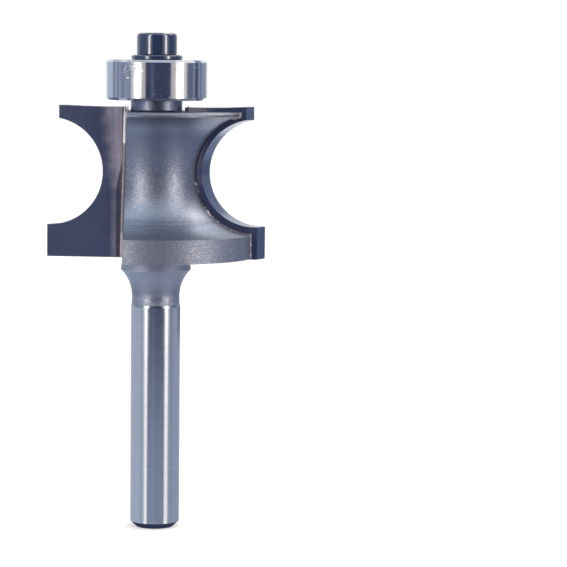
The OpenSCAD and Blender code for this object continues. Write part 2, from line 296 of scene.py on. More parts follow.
def place_group(tree, group, sockets):
    """Places a shader group in a material and fills its inputs."""
    return node(tree, "ShaderNodeGroup", {"node_tree": group}, sockets).outputs


print("groups so far:", len(bpy.data.node_groups))

# %% [markdown]
# Shared effects
#
# Turning lines are the fine rings that a lathe or a cylindrical grinder leaves. Their pattern changes
# quickly along the axis and outwards on a flat end face, and hardly at all round the axis. So the noise
# is read at a point whose first number is height plus radius, stretched, and whose others are small.
# Where a surface widens downwards, height less radius is the number that never stands still.

# %% Group: turning lines
def make_turning_lines():
    """Noise of (height + radius times its sign) times the lines per mm, with a slow drift round the axis."""
    tree, given, result = new_group(
        "turning_lines", {"Lines per mm": 8.0, "Drift": 0.35, "Radius sign": 1.0}, ["Height", "Shade"])
    place = here(tree)
    parts = split(tree, place)
    along = maths(tree, "MULTIPLY_ADD", from_axis(tree, place), given["Radius sign"], parts[2])
    along = maths(tree, "MULTIPLY", along, PER_MM)
    rings = maths(tree, "MULTIPLY", along, given["Lines per mm"])
    drift = maths(tree, "MULTIPLY", given["Drift"], PER_MM)
    side_x = maths(tree, "MULTIPLY", parts[0], drift)
    side_y = maths(tree, "MULTIPLY", parts[1], drift)
    where = node(tree, "ShaderNodeCombineXYZ", None, {0: rings, 1: side_x, 2: side_y}).outputs[0]
    fine = speckle(tree, where, 1.0, 4.0, 0.7)
    broad = speckle(tree, where, 0.23, 2.0, 0.5)
    tree.links.new(fine, result["Height"])
    tree.links.new(blend_value(tree, 0.5, fine, broad), result["Shade"])
    return tree


TURNING_LINES = make_turning_lines()
print(TURNING_LINES.name, len(TURNING_LINES.nodes), "nodes")

# %% [markdown]
# Blast grain is what glass beads or grit leave: a field of tiny round dents, some of them brighter
# where they turn to the light. A Voronoi texture scatters random points. The distance to the nearest
# point rises like the wall of a dent, and each point carries a random shade of its own, used in the colour as
# a painted glint.

# %% Group: blast grain
def make_blast_grain():
    """Dents from the distance to the nearest random point, roughened by noise, and a shade for each dent, its
    painted glint.
    """
    tree, given, result = new_group("blast_grain", {"Grains per mm": 7.0}, ["Height", "Sparkle"])
    place = here(tree)
    scale = maths(tree, "MULTIPLY", given["Grains per mm"], PER_MM)
    dents = node(tree, "ShaderNodeTexVoronoi", {"feature": "F1"},
                 {"Vector": place, "Scale": scale, "Randomness": 1.0}).outputs
    rough = speckle(tree, place, maths(tree, "MULTIPLY", scale, 0.8), 2.0, 0.6)
    shade = node(tree, "ShaderNodeSeparateColor", None, {0: dents["Color"]}).outputs[0]
    tree.links.new(blend_value(tree, 0.4, dents["Distance"], rough), result["Height"])
    tree.links.new(spread(tree, shade, 0.35, 1.0), result["Sparkle"])
    return tree


BLAST_GRAIN = make_blast_grain()
print(BLAST_GRAIN.name, len(BLAST_GRAIN.nodes), "nodes")

# %% [markdown]
# Rubbed edges are the thin bright line where handling has polished a corner. The Bevel node gives the
# normal that a slightly rounded corner would have. Where it differs from the surface's own normal, there
# is a corner.

# %% Group: rubbed edges
def make_rubbed_edges():
    """1 on a corner, falling to 0 within the given width of it, broken up by noise."""
    tree, given, result = new_group("rubbed_edges", {"Width mm": 0.12, "Break up": 0.5}, ["Mask"])
    round_normal = node(tree, "ShaderNodeBevel", {"samples": 6},
                        {"Radius": maths(tree, "MULTIPLY", given["Width mm"], MM)}).outputs[0]
    own = node(tree, "ShaderNodeNewGeometry").outputs["Normal"]
    agree = vectors(tree, "DOT_PRODUCT", round_normal, own)["Value"]
    corner = spread(tree, agree, 0.995, 0.90)
    patchy = spread(tree, speckle(tree, here(tree), 2600.0, 3.0), 0.35, 0.6)
    share = blend_value(tree, given["Break up"], 1.0, patchy)
    tree.links.new(maths(tree, "MULTIPLY", corner, share, clamp=True), result["Mask"])
    return tree


RUBBED_EDGES = make_rubbed_edges()
print(RUBBED_EDGES.name, len(RUBBED_EDGES.nodes), "nodes")

# %% [markdown]
# Handling is the uneven film of oil and fingerprints that every metal part carries: broad soft
# patches that change how glossy the surface is. Plain noise at two sizes is enough for it.

# %% Group: handling
def make_handling():
    """Broad patches and a mottling seven times finer, for roughness and shade."""
    tree, given, result = new_group("handling", {"Patch mm": 3.0}, ["Patches", "Mottle"])
    place = here(tree)
    scale = maths(tree, "DIVIDE", PER_MM, given["Patch mm"])
    tree.links.new(spread(tree, speckle(tree, place, scale, 3.0), 0.35, 0.65), result["Patches"])
    finer = speckle(tree, place, maths(tree, "MULTIPLY", scale, 7.0), 4.0, 0.65)
    tree.links.new(finer, result["Mottle"])
    return tree


HANDLING = make_handling()
print(HANDLING.name, len(HANDLING.nodes), "nodes")

# %% [markdown]
# A band picks a range of heights, such as the ground length of the shank, with soft or hard ends. The
# bar could be cut into one piece for each finish. A band leaves it whole, and its ends can be soft.

# %% Group: band
def make_band():
    """1 between two heights in mm, 0 outside, with ramps of the given width inside both ends."""
    tree, given, result = new_group("band", {"From mm": 0.0, "To mm": 1.0, "Soft mm": 0.1}, ["Mask"])
    height = height_mm(tree)
    above = maths(tree, "SUBTRACT", height, given["From mm"])
    below = maths(tree, "SUBTRACT", given["To mm"], height)
    rise = maths(tree, "DIVIDE", above, given["Soft mm"], clamp=True)
    fall = maths(tree, "DIVIDE", below, given["Soft mm"], clamp=True)
    tree.links.new(maths(tree, "MULTIPLY", rise, fall), result["Mask"])
    return tree


BAND = make_band()


def zone(tree, low, high, soft):
    """Mask that is 1 from one height to another."""
    return place_group(tree, BAND, {"From mm": low, "To mm": high, "Soft mm": soft})["Mask"]


print("shader groups:", [g.name for g in bpy.data.node_groups])

# %% [markdown]
# Finishes
#
# Each finish is one material around one Principled shader. Marks too small to model are a bump: they turn
# the normal and leave the surface where it is. A finish for a solid goes into its own mesh, which keeps
# its place and form.

# %% Start of a finish
def finish(name):
    """New material whose network holds only its shader and its output."""
    material = bpy.data.materials.new(name)
    material.use_nodes = True
    tree = material.node_tree
    tree.nodes.clear()
    shader = tree.nodes.new("ShaderNodeBsdfPrincipled")
    output = tree.nodes.new("ShaderNodeOutputMaterial")
    tree.links.new(shader.outputs[0], output.inputs[0])
    return material, tree, shader


def worn(tree, width, break_up):
    """Mask of the rubbed edges, of a width in millimetres and broken up by a share."""
    return place_group(tree, RUBBED_EDGES, {"Width mm": width, "Break up": break_up})["Mask"]


def bump(tree, height, strength, distance_mm, normal=None):
    """Bump node that turns a height between 0 and 1 into a dent of the given depth."""
    sockets = {"Height": height, "Strength": strength, "Distance": distance_mm * MM, "Normal": normal}
    return node(tree, "ShaderNodeBump", None, sockets).outputs[0]


def dress(material, *names):
    """Gives the named solids one finish."""
    for name in names:
        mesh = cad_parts[name].data
        mesh.materials.clear()
        mesh.materials.append(material)
    print(material.name, "on", ", ".join(names))


print("materials that came with the packed model:", len(bpy.data.materials))

# %% [markdown]
# Steel body
#
# One bar gives the shank and the body, but four finishes meet on it. The shank is ground and polished
# for the collet. The flare above it is turned and left matte, with a grainy foot. The body is blasted:
# the lower flange and the top have small sharp dents, and the bead's hollow has broader and softer ones,
# with the lathe's rings still showing low down. Each finish is chosen by height, because on a turned part
# every finish ends at a height.

# %% Where the bar's finishes lie
def bar_zones(tree):
    """Masks by height, each 1 in its own stretch of the bar and 0 elsewhere."""
    return {
        "ground": zone(tree, END_CHAMFER, SHANK_TOP + 0.05, 0.05),
        "foot": zone(tree, SHANK_TOP, SHANK_TOP + 1.6, 0.8),
        # Painted shade: the flare darker low down, near the shank.
        "painted_shade_low_flare": zone(tree, SHANK_TOP, SHANK_TOP + 3.1, 1.5),
        "flare": zone(tree, SHANK_TOP, BODY_BOTTOM - 0.02, 0.05),
        "blasted": zone(tree, SHANK_TOP + 0.1, PAST_BODY, 0.10),
        "flange": zone(tree, BODY_BOTTOM, FLANGE_TOP, 0.10),
        "ringed": zone(tree, FLANGE_TOP - 0.3, FLANGE_TOP + 2.4, 0.7),
        # Painted sheen: lighter, bluer steel low in the hollow, for what it mirrors.
        "painted_sheen_low": zone(tree, FLANGE_TOP - 0.1, FLANGE_TOP + 5.2, 2.5),
        "upper": zone(tree, BODY_TOP - 6.5, BODY_TOP - 0.6, 2.0),
        # Painted light: a lighter band high in the hollow.
        "lighter": zone(tree, BODY_TOP - 3.1, BODY_TOP - 0.65, 1.2),
        # Painted shade: a dark band just under the hollow's upper rim.
        "rim": zone(tree, BODY_TOP - 0.6, BODY_TOP - 0.09, 0.09),
        # Above the body: glossier dents, and steel painted darker as shade under the bearing.
        "top": zone(tree, BODY_TOP + 0.05, PAST_BODY, 0.05)}


def bar_sparkle(tree, at, soft, sharp):
    """Bright dents of the blasting, a painted glint: full on the flange, 0.7 above it, and 0.4 of that near
    the top.
    """
    sparkle = blend_value(tree, at["flange"], soft["Sparkle"], sharp["Sparkle"])
    sparkle = maths(tree, "MULTIPLY", sparkle, blend_value(tree, at["flange"], 0.7, 1.0))
    sparkle = maths(tree, "MULTIPLY", sparkle, blend_value(tree, at["upper"], 1.0, 0.4))
    return maths(tree, "MULTIPLY", sparkle, at["blasted"])


print("shank to", SHANK_TOP, "mm, flange to", round(FLANGE_TOP, 2), "mm, body to", round(BODY_TOP, 2), "mm")

# %% [markdown]
# A metal's base colour tints and dims what the metal mirrors. Blasted steel is a dull blue-grey with
# warmer bright dents, which are painted glints, and ground steel is a much lighter grey. Some stretches by
# height are painted light and shade: a lighter, bluer sheen low in the hollow, a lighter band high in it,
# a dark band under its rim, darker steel under the bearing, a darker lower flare and bright speckles on
# its foot. The colours are laid over one another, from the whole body to its details, as thin coats of
# paint would be.

# %% Colours of the bar
def bar_colour(tree, at, sparkle, sharp_sparkle, lines, rings, oil, rubbed):
    """Blasted body with painted glints, then its stretches by height, several painted light and shade, then
    the ground shank and the rubbed corners.
    """
    # The light shade of each dent is a painted glint, over a random tone.
    hollow = blend_colour(tree, sparkle, (0.218, 0.25, 0.33, 1.0), (0.42, 0.41, 0.45, 1.0))
    band = blend_colour(tree, sparkle, (0.25, 0.28, 0.35, 1.0), (0.46, 0.455, 0.50, 1.0))
    # Colour of the painted sheen low in the hollow, lighter and bluer.
    painted_sheen_low_colour = blend_colour(tree, sparkle, (0.36, 0.45, 0.58, 1.0), (0.58, 0.57, 0.62, 1.0))
    # Painted shade under the bearing, with painted glints in its dents.
    painted_shade_top = blend_colour(tree, sharp_sparkle, (0.19, 0.225, 0.335, 1.0), (0.35, 0.355, 0.43, 1.0))
    # Painted glints: bright speckles for the grainy foot of the flare.
    painted_glint_speckles = blend_colour(tree, sharp_sparkle, (0.25, 0.28, 0.355, 1.0), (0.66, 0.625, 0.63, 1.0))
    ring_marks = maths(tree, "MULTIPLY", at["ringed"], spread(tree, rings["Height"], 0.44, 0.56))
    body = blend_colour(tree, at["flange"], hollow, band)
    body = lay(tree, body, oil["Patches"], 0.25, (0.26, 0.285, 0.34, 1.0))
    # Painted light: the lighter band high in the hollow.
    body = lay(tree, body, at["lighter"], 0.6, (0.42, 0.48, 0.58, 1.0))
    body = lay(tree, body, at["painted_sheen_low"], 0.75, painted_sheen_low_colour)
    body = lay(tree, body, at["top"], 0.8, painted_shade_top)
    # Painted shade: the dark band under the rim.
    body = lay(tree, body, at["rim"], 0.75, (0.19, 0.20, 0.24, 1.0))
    body = lay(tree, body, at["flare"], 0.75, (0.44, 0.48, 0.56, 1.0))
    # Painted shade on the lower flare.
    body = lay(tree, body, at["painted_shade_low_flare"], 0.8, (0.27, 0.29, 0.37, 1.0))
    # Painted glints on the foot of the flare.
    body = lay(tree, body, at["foot"], 0.8, painted_glint_speckles)
    body = lay(tree, body, ring_marks, 0.6, (0.20, 0.26, 0.36, 1.0))
    ground = blend_colour(tree, lines["Shade"], (0.50, 0.53, 0.56, 1.0), (0.66, 0.68, 0.70, 1.0))
    colour = blend_colour(tree, at["ground"], body, ground)
    return lay(tree, colour, rubbed, 0.55, (0.72, 0.73, 0.77, 1.0))


print("colours of the bar: blasted body, flare and foot, rim and top, ring marks, shank, rubbed corners")

# %% [markdown]
# Roughness says how far a mirrored light is smeared. Ground steel smears it little, blasted steel a lot,
# and a film of oil changes that a little. Dents, lines and rings are bumps, of a fiftieth of a millimetre
# at full strength.

# %% Finish: blasted and ground steel
def bar_rough(tree, at, sparkle, oil):
    """About 0.5 where blasted, 0.6 on the flare, 0.4 at its foot and on top, 0.11 to 0.16 where ground."""
    rough = blend_value(tree, sparkle, blend_value(tree, at["flange"], 0.48, 0.56), 0.42)
    rough = blend_value(tree, at["top"], rough, 0.40)
    rough = blend_value(tree, at["flare"], rough, blend_value(tree, at["foot"], 0.60, 0.39))
    return blend_value(tree, at["ground"], rough, blend_value(tree, oil["Patches"], 0.11, 0.16))


def bar_normal(tree, at, soft, sharp, lines, rings):
    """Dents above the shank, fine lines mixed with soft dents on it, and broad rings at the hollow's foot."""
    dents = blend_value(tree, at["flange"], soft["Height"], sharp["Height"])
    combed = blend_value(tree, 0.55, lines["Height"], soft["Height"])
    height = blend_value(tree, at["blasted"], combed, dents)
    depth = blend_value(tree, at["foot"], blend_value(tree, at["flange"], 0.42, 0.50), 0.52)
    normal = bump(tree, height, blend_value(tree, at["blasted"], 0.40, depth), 0.02)
    return bump(tree, rings["Height"], blend_value(tree, at["ringed"], 0.05, 0.35), 0.02, normal)


def make_body_steel():
    """One steel bar whose finishes change with height."""
    material, tree, shader = finish("blasted_and_ground_steel")
    at = bar_zones(tree)
    soft = place_group(tree, BLAST_GRAIN, {"Grains per mm": 7.0})
    sharp = place_group(tree, BLAST_GRAIN, {"Grains per mm": 9.0})
    lines = place_group(tree, TURNING_LINES, {"Lines per mm": 9.0, "Drift": 0.15})
    rings = place_group(tree, TURNING_LINES, {"Lines per mm": 1.3, "Drift": 0.07, "Radius sign": -1.0})
    oil = place_group(tree, HANDLING, {"Patch mm": 5.0})
    sparkle = bar_sparkle(tree, at, soft, sharp)
    rubbed = worn(tree, 0.08, 0.7)
    colour = bar_colour(tree, at, sparkle, sharp["Sparkle"], lines, rings, oil, rubbed)
    tree.links.new(colour, shader.inputs["Base Color"])
    tree.links.new(bar_rough(tree, at, sparkle, oil), shader.inputs["Roughness"])
    tree.links.new(bar_normal(tree, at, soft, sharp, lines, rings), shader.inputs["Normal"])
    shader.inputs["Metallic"].default_value = 1.0
    return material


dress(make_body_steel(), "cutter_body")

# %% [markdown]
# Carbide tips
#
# A tip is a small plate of sintered carbide, brazed to the steel and then ground: first flat on its
# cutting face, then along its whole outline with a slanted wheel, which leaves the relief behind the
# edge. It could be a block cut by a slanted cylinder. Here it is a section carried along the cutting
# profile, because the edge then stays exact and the ground relief shades smoothly.

# %% Cutting profile
TIP_T = 2.1
TIP_IN_X = 3.7
RELIEF = math.tan(math.radians(20.0))
BEAD_R = 6.7
LOW_CUT_R = 13.7
WAIST_CUT_R = 6.7
UP_CUT_R = 12.2
LOW_LAND = 4.05
UP_LAND = 1.65
BEAD_Z = TIP_BOTTOM + LOW_LAND + BEAD_R


def cutting_profile(steps=150):
    """Distances from the axis and heights of the edge: a lower land, an arc of the bead, an upper land."""
    half = TIP_T / 2
    low_s = math.sqrt(LOW_CUT_R ** 2 - half ** 2)
    up_s = math.sqrt(UP_CUT_R ** 2 - half ** 2)
    bead_s = math.sqrt(WAIST_CUT_R ** 2 - half ** 2) + BEAD_R
    end = math.pi - math.acos((bead_s - up_s) / BEAD_R)
    turn = np.linspace(1.5 * math.pi, end, steps)
    arc = np.stack([bead_s + BEAD_R * np.cos(turn), BEAD_Z + BEAD_R * np.sin(turn)], 1)
    lower = np.array([[low_s, TIP_BOTTOM], [low_s, arc[0, 1] - 0.012]])
    upper = np.array([[up_s, arc[-1, 1] + 0.02], [up_s, TIP_TOP]])
    return np.concatenate([lower, arc, upper])


PROFILE = cutting_profile()
print("cutting profile reaches", round(PROFILE[:, 0].max(), 3), "mm from the axis plane")

# %% [markdown]
# At each step the section is a four-sided slice: the inner edge is fixed, and the outer edge moves
# inwards from front to back by the tangent of the relief angle. The top land dips a little towards the
# axis, as it does on the real tip. Both tips are the same grid, one turned by half a turn.

# %% Form of a tip
def tip_points(profile, side):
    """Slices along the profile; in a slice, (1 - t) times the inner edge plus t times the outer edge."""
    half = TIP_T / 2
    share = np.array([0.0, 0.25, 0.5, 0.7, 0.85, 1.0])
    outer = profile[:, :1]
    back_outer = outer - RELIEF * TIP_T
    front_x = TIP_IN_X + (outer - TIP_IN_X) * share
    back_x = TIP_IN_X + (back_outer - TIP_IN_X) * share
    dip = 0.15 * np.clip((outer - front_x) / 3.0, 0.0, 1.0)
    near_top = np.clip((profile[:, 1:] - (TIP_TOP - UP_LAND)) / UP_LAND, 0.0, 1.0)
    heights = np.repeat(profile[:, 1:], len(share), 1) - dip * near_top
    front = np.stack([front_x, np.full_like(front_x, -half), heights], -1)
    back = np.stack([back_x, np.full_like(back_x, half), heights], -1)
    ring = np.concatenate([front, back[:, ::-1]], 1)
    return ring * np.array([side, -side, 1.0])


def carbide_plate(name, node_name, side):
    """Carbide tip on the side of the axis given by its sign, standing for its solid."""
    rings = tip_points(PROFILE, side)
    piece = shell(name, rings.reshape(-1, 3), capped(*rings.shape[:2]), 18.0)
    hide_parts(node_name)
    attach(piece, "cutter")
    return piece


TIP_LEFT = carbide_plate("carbide_plate_left", "carbide_tip_1", -1.0)
TIP_RIGHT = carbide_plate("carbide_plate_right", "carbide_tip_2", 1.0)

# %% [markdown]
# Ground carbide is dark and a little blue, with long faint scratches from the diamond wheel. A light
# brownish cloud near the seat is a painted reflection, a dark wedge low down in it is painted shade where
# the steel wall keeps light off the corner, and the ground relief is painted lighter than the face, for the
# light it mirrors. The marks could be painted as a picture and wrapped on. Here formulas of the height and
# of the distance from the middle place them, which needs no file and stays sharp.

# %% Marks on the carbide, with painted reflection and painted shade
def up_the_tip(tree, height, low, high, to_low=0.0, to_high=1.0):
    """Number that changes between two heights above the tip's lower end."""
    return spread(tree, height, TIP_BOTTOM + low, TIP_BOTTOM + high, to_low, to_high)


# Painted reflection: a light brownish cloud on the face near the seat, for what the face mirrors.
def painted_reflection_cloud(tree, place, height, reach, streaks):
    """1 well inside a limit that goes from 4.3 mm low down to 6.2 mm at the top, plus 1.6 mm times noise."""
    limit = up_the_tip(tree, height, 3.8, 21.8, 4.3, 6.2)
    limit = maths(tree, "MULTIPLY_ADD", speckle(tree, place, 800.0, 2.0, 0.6), 1.6, limit)
    cloud = spread(tree, maths(tree, "SUBTRACT", limit, reach), -0.6, 1.8)
    return maths(tree, "MULTIPLY", cloud, spread(tree, streaks, 0.3, 0.7, 0.6, 1.0))


# Painted shade: a dark wedge low in the corner, where the steel wall keeps light off the face.
def painted_corner_shade(tree, height, reach):
    """1 inside a limit that goes from 4.95 mm low down to 4.2 mm higher up."""
    limit = up_the_tip(tree, height, 12.8, 8.1, 4.2, 4.95)
    return spread(tree, maths(tree, "SUBTRACT", limit, reach), -0.04, 0.10)


def pale_streak(tree, height, reach):
    """1 between 5.0 and 5.35 mm from the middle, low down only."""
    strip = maths(tree, "SUBTRACT", spread(tree, reach, 4.85, 5.0), spread(tree, reach, 5.35, 5.75))
    return maths(tree, "MULTIPLY", strip, up_the_tip(tree, height, 9.3, 6.3))


print("marks run from", round(TIP_BOTTOM + 3.8, 1), "to", round(TIP_BOTTOM + 21.8, 1), "mm")

# %% [markdown]
# The finish lays those marks over the streaked grey of the ground face. The same material covers the
# relief behind the edge. The normal tells the two apart: the face looks straight along y, and the relief
# looks aside, so it gets its own glossier steel-blue, painted lighter for the light that it mirrors.

# %% Finish: ground carbide
def make_carbide():
    """Slate grey with upright streaks, a painted reflection and a painted corner shade; a tilted face is
    relief, painted lighter.
    """
    material, tree, shader = finish("ground_carbide")
    place = here(tree)
    streaks = speckle(tree, vectors(tree, "MULTIPLY", place, (5200.0, 900.0, 110.0))[0], 1.0, 3.0, 0.6)
    reach = maths(tree, "MULTIPLY", maths(tree, "ABSOLUTE", split(tree, place)[0]), PER_MM)
    height = height_mm(tree)
    flank = spread(tree, facing(tree, 1), 0.80, 0.55)
    colour = blend_colour(tree, streaks, (0.112, 0.134, 0.225, 1.0), (0.155, 0.180, 0.285, 1.0))
    # Painted reflection near the seat.
    colour = lay(tree, colour, painted_reflection_cloud(tree, place, height, reach, streaks), 0.96, (0.80, 0.73, 0.78, 1.0))
    colour = lay(tree, colour, pale_streak(tree, height, reach), 0.35, (0.50, 0.47, 0.52, 1.0))
    # Painted shade in the corner.
    colour = lay(tree, colour, painted_corner_shade(tree, height, reach), 0.8, (0.07, 0.075, 0.10, 1.0))
    # The relief's own glossier grind, painted lighter for the light that it mirrors.
    relief = blend_colour(tree, streaks, (0.215, 0.26, 0.35, 1.0), (0.27, 0.32, 0.41, 1.0))
    colour = blend_colour(tree, flank, colour, relief)
    colour = lay(tree, colour, worn(tree, 0.07, 0.5), 0.4, (0.60, 0.62, 0.66, 1.0))
    tree.links.new(colour, shader.inputs["Base Color"])
    oil = place_group(tree, HANDLING, {"Patch mm": 6.0})
    rough = maths(tree, "MULTIPLY_ADD", oil["Patches"], 0.04, blend_value(tree, flank, 0.30, 0.22))
    tree.links.new(rough, shader.inputs["Roughness"])
    tree.links.new(bump(tree, streaks, 0.10, 0.01), shader.inputs["Normal"])
    shader.inputs["Metallic"].default_value = 1.0
    return material


CARBIDE = make_carbide()
TIP_LEFT.data.materials.append(CARBIDE)
TIP_RIGHT.data.materials.append(CARBIDE)
print(CARBIDE.name, len(CARBIDE.node_tree.nodes), "nodes")

# %% [markdown]
# Braze
#
# Silver solder runs out of the seat and freezes as an uneven bead: along the corner in front of the
# tip and along the steel's edge behind it. A curve with a round bevel would give an even wire. Here a
# small ring is carried along the seam as a grid, so that its radius can swell and thin at random.

# %% Bead along a seam
def bead_mesh(name, path, radius, around=10):
    """Ring of the given radius at each point of the path, in the plane square to it."""
    across = np.array([0.0, 1.0, 0.0])
    ahead = np.gradient(path, axis=0)
    ahead = ahead / np.linalg.norm(ahead, axis=1, keepdims=True)
    second = np.cross(ahead, across)
    second = second / np.linalg.norm(second, axis=1, keepdims=True)
    turn = np.linspace(0.0, 2 * math.pi, around, endpoint=False)
    ring = (np.cos(turn)[None, :, None] * across + np.sin(turn)[None, :, None] * second[:, None, :])
    points = path[:, None, :] + radius[:, None, None] * ring
    return shell(name, points.reshape(-1, 3), capped(len(path), around), 80.0)


def uneven(count, step, low, high, seed):
    """Random numbers between low and high every few steps, joined by straight lines."""
    draw = np.random.default_rng(seed)
    knots = draw.uniform(low, high, count // step + 2)
    at = np.linspace(0.0, len(knots) - 1.0, count)
    return np.interp(at, np.arange(len(knots)), knots)


print("a bead is a ring of 10 points carried along its seam")

# %% [markdown]
# The seam behind a tip follows the outline of the turned body, which is two flanges with a circle taken
# out between them. The same circle is written here as a formula of the height, so that the bead lies on
# the steel without having to search its mesh. The seam in front is a straight line up the corner.

# %% Seams of the tips
HOLLOW_R = 7.55
HOLLOW_X = 12.667
HOLLOW_Z = BEAD_Z - 0.2
LOW_BODY_R = 12.1
UP_BODY_R = 10.65
THICK_BELOW = 42.0
BACK_SEAM_Y = 1.15
FRONT_SEAM_X = 3.86
FRONT_SEAM_Y = 1.03
FRONT_SEAM_FOOT = TIP_TOP - 4.75


def steel_radius(z):
    """Radius of the turned body at a height: two flanges, less a circle between them."""
    flange = np.where(z < HOLLOW_Z, LOW_BODY_R, UP_BODY_R)
    inside = np.clip(HOLLOW_R ** 2 - (z - HOLLOW_Z) ** 2, 0.0, None)
    hollow = np.where(inside > 0.0, HOLLOW_X - np.sqrt(inside), flange)
    return np.minimum(flange, hollow)


def back_bead(name, side, seed):
    """Bead along the outline of the steel where it meets the back of a tip, thicker low down."""
    z = np.linspace(BODY_BOTTOM + 0.05, BODY_TOP - 0.05, 260)
    x = np.sqrt(steel_radius(z) ** 2 - BACK_SEAM_Y ** 2)
    keep = np.concatenate([[True], np.hypot(np.diff(x), np.diff(z)) > 0.02])
    path = np.stack([side * x[keep], np.full(keep.sum(), -side * BACK_SEAM_Y), z[keep]], 1)
    thick = 1.0 + 0.9 * np.clip((THICK_BELOW - path[:, 2]) / 3.0, 0.0, 1.0)
    return bead_mesh(name, path, uneven(len(path), 3, 0.03, 0.12, seed) * thick)


def front_bead(name, side, seed):
    """Bead up the corner between a tip's face and the steel, where the clean silver shows."""
    z = np.linspace(FRONT_SEAM_FOOT, TIP_TOP - 0.03, 60)
    path = np.stack([np.full_like(z, side * FRONT_SEAM_X), np.full_like(z, side * FRONT_SEAM_Y), z], 1)
    radius = uneven(len(z), 3, 0.085, 0.125, seed) * np.clip((z - z[0]) / 0.3, 0.3, 1.0)
    return bead_mesh(name, path, radius)


BEADS = [
    back_bead("braze_bead_back_left", -1.0, 4),
    back_bead("braze_bead_back_right", 1.0, 7),
    front_bead("braze_bead_front_left", -1.0, 12),
    front_bead("braze_bead_front_right", 1.0, 15)]
for bead in BEADS:
    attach(bead, "cutter")

# %% [markdown]
# Silver braze is bright where it froze clean, high in the front corner and at the rims, and tarnished
# brown-grey along the hollow, but for a few bright spots. It could be two materials. One material whose
# brightness is worked out from the place lets clean and dull braze run into each other.

# %% Finish: silver braze
def clean_braze(tree, place, near_axis):
    """1 in the front corner high up, 0.5 at the upper rim, and up to 0.7 in spots along the hollow."""
    beside = spread(tree, maths(tree, "ABSOLUTE", split(tree, place)[0]), 3.70 * MM, 3.80 * MM)
    corner = maths(tree, "MULTIPLY", zone(tree, FRONT_SEAM_FOOT - 0.05, PAST_BODY, 0.25), beside)
    corner = maths(tree, "MULTIPLY", corner, near_axis)
    rim = maths(tree, "MULTIPLY", zone(tree, TIP_TOP - 1.6, PAST_BODY, 0.1), 0.5)
    spots = spread(tree, speckle(tree, place, 2600.0, 2.0, 0.6), 0.55, 0.63)
    spots = maths(tree, "MULTIPLY", spots, zone(tree, FLANGE_TOP - 0.3, FLANGE_TOP + 7.2, 0.8))
    spots = maths(tree, "MULTIPLY", spots, maths(tree, "SUBTRACT", 1.0, near_axis))
    return maths(tree, "MAXIMUM", maths(tree, "MAXIMUM", corner, rim), maths(tree, "MULTIPLY", spots, 0.7))


def dull_braze(tree, mottle, near_axis):
    """Dark tarnish, lighter where the bead is thick, mottled near the axis and grey along the flange."""
    dull = blend_colour(tree, mottle, (0.06, 0.06, 0.075, 1.0), (0.14, 0.125, 0.14, 1.0))
    thick = zone(tree, FLANGE_TOP - 1.3, FLANGE_TOP + 3.7, 1.5)
    dull = lay(tree, dull, thick, 0.7, (0.30, 0.26, 0.30, 1.0))
    share = spread(tree, mottle, 0.4, 0.6)
    mottled = blend_colour(tree, share, (0.17, 0.15, 0.165, 1.0), (0.36, 0.32, 0.33, 1.0))
    dull = blend_colour(tree, near_axis, dull, mottled)
    along_flange = zone(tree, BODY_BOTTOM - 0.3, FLANGE_TOP + 0.1, 0.2)
    return blend_colour(tree, along_flange, dull, (0.40, 0.37, 0.38, 1.0))


def make_braze():
    """Clean silver blended with tarnish; clean braze is rougher and less of a mirror, so it looks whiter."""
    material, tree, shader = finish("silver_braze")
    oil = place_group(tree, HANDLING, {"Patch mm": 0.8})
    place = here(tree)
    near_axis = spread(tree, from_axis(tree, place), 4.9 * MM, 4.7 * MM)
    bright = clean_braze(tree, place, near_axis)
    clean = blend_colour(tree, oil["Mottle"], (0.95, 0.91, 0.86, 1.0), (0.80, 0.76, 0.72, 1.0))
    colour = blend_colour(tree, bright, dull_braze(tree, oil["Mottle"], near_axis), clean)
    tree.links.new(colour, shader.inputs["Base Color"])
    rough = blend_value(tree, oil["Patches"], blend_value(tree, bright, 0.42, 0.55), 0.5)
    tree.links.new(rough, shader.inputs["Roughness"])
    tree.links.new(bump(tree, oil["Mottle"], 0.6, 0.04), shader.inputs["Normal"])
    tree.links.new(blend_value(tree, bright, 1.0, 0.35), shader.inputs["Metallic"])
    return material


BRAZE = make_braze()
for bead in BEADS:
    bead.data.materials.append(BRAZE)
dress(BRAZE, "braze_layer_1", "braze_layer_2")

# %% [markdown]
# Guide screw
#
# A socket head screw is headed, rolled and blackened. Its thread could be cut from a cylinder with a
# screw modifier. Here the whole skin is a stack of rings about the axis. The head is a profile whose
# inner part changes from a circle to a hexagon. The thread is a cylinder whose radius rises and falls
# as a triangle wave of height less turn, so the crests climb one pitch in each turn.

# %% Screw's head and thread
SCREW_STEPS = 144
HEAD_R = 2.525
HEAD_ROUND = 0.45
SOCKET_FLATS = 2.38
THREAD_TOP = HEAD_BOTTOM - 0.55


def ring_at(turn, radius, z):
    """Ring of points round the axis at a radius, which may change with the turn, and a height."""
    return np.stack([radius * np.cos(turn), radius * np.sin(turn), np.full_like(turn, z)], 1)


def hexagon(turn, across_flats):
    """Distance from the centre to a hexagon's side in each direction."""
    sixth = math.pi / 3
    off = np.mod(turn + sixth / 2, sixth) - sixth / 2
    return across_flats / 2 / np.cos(off)


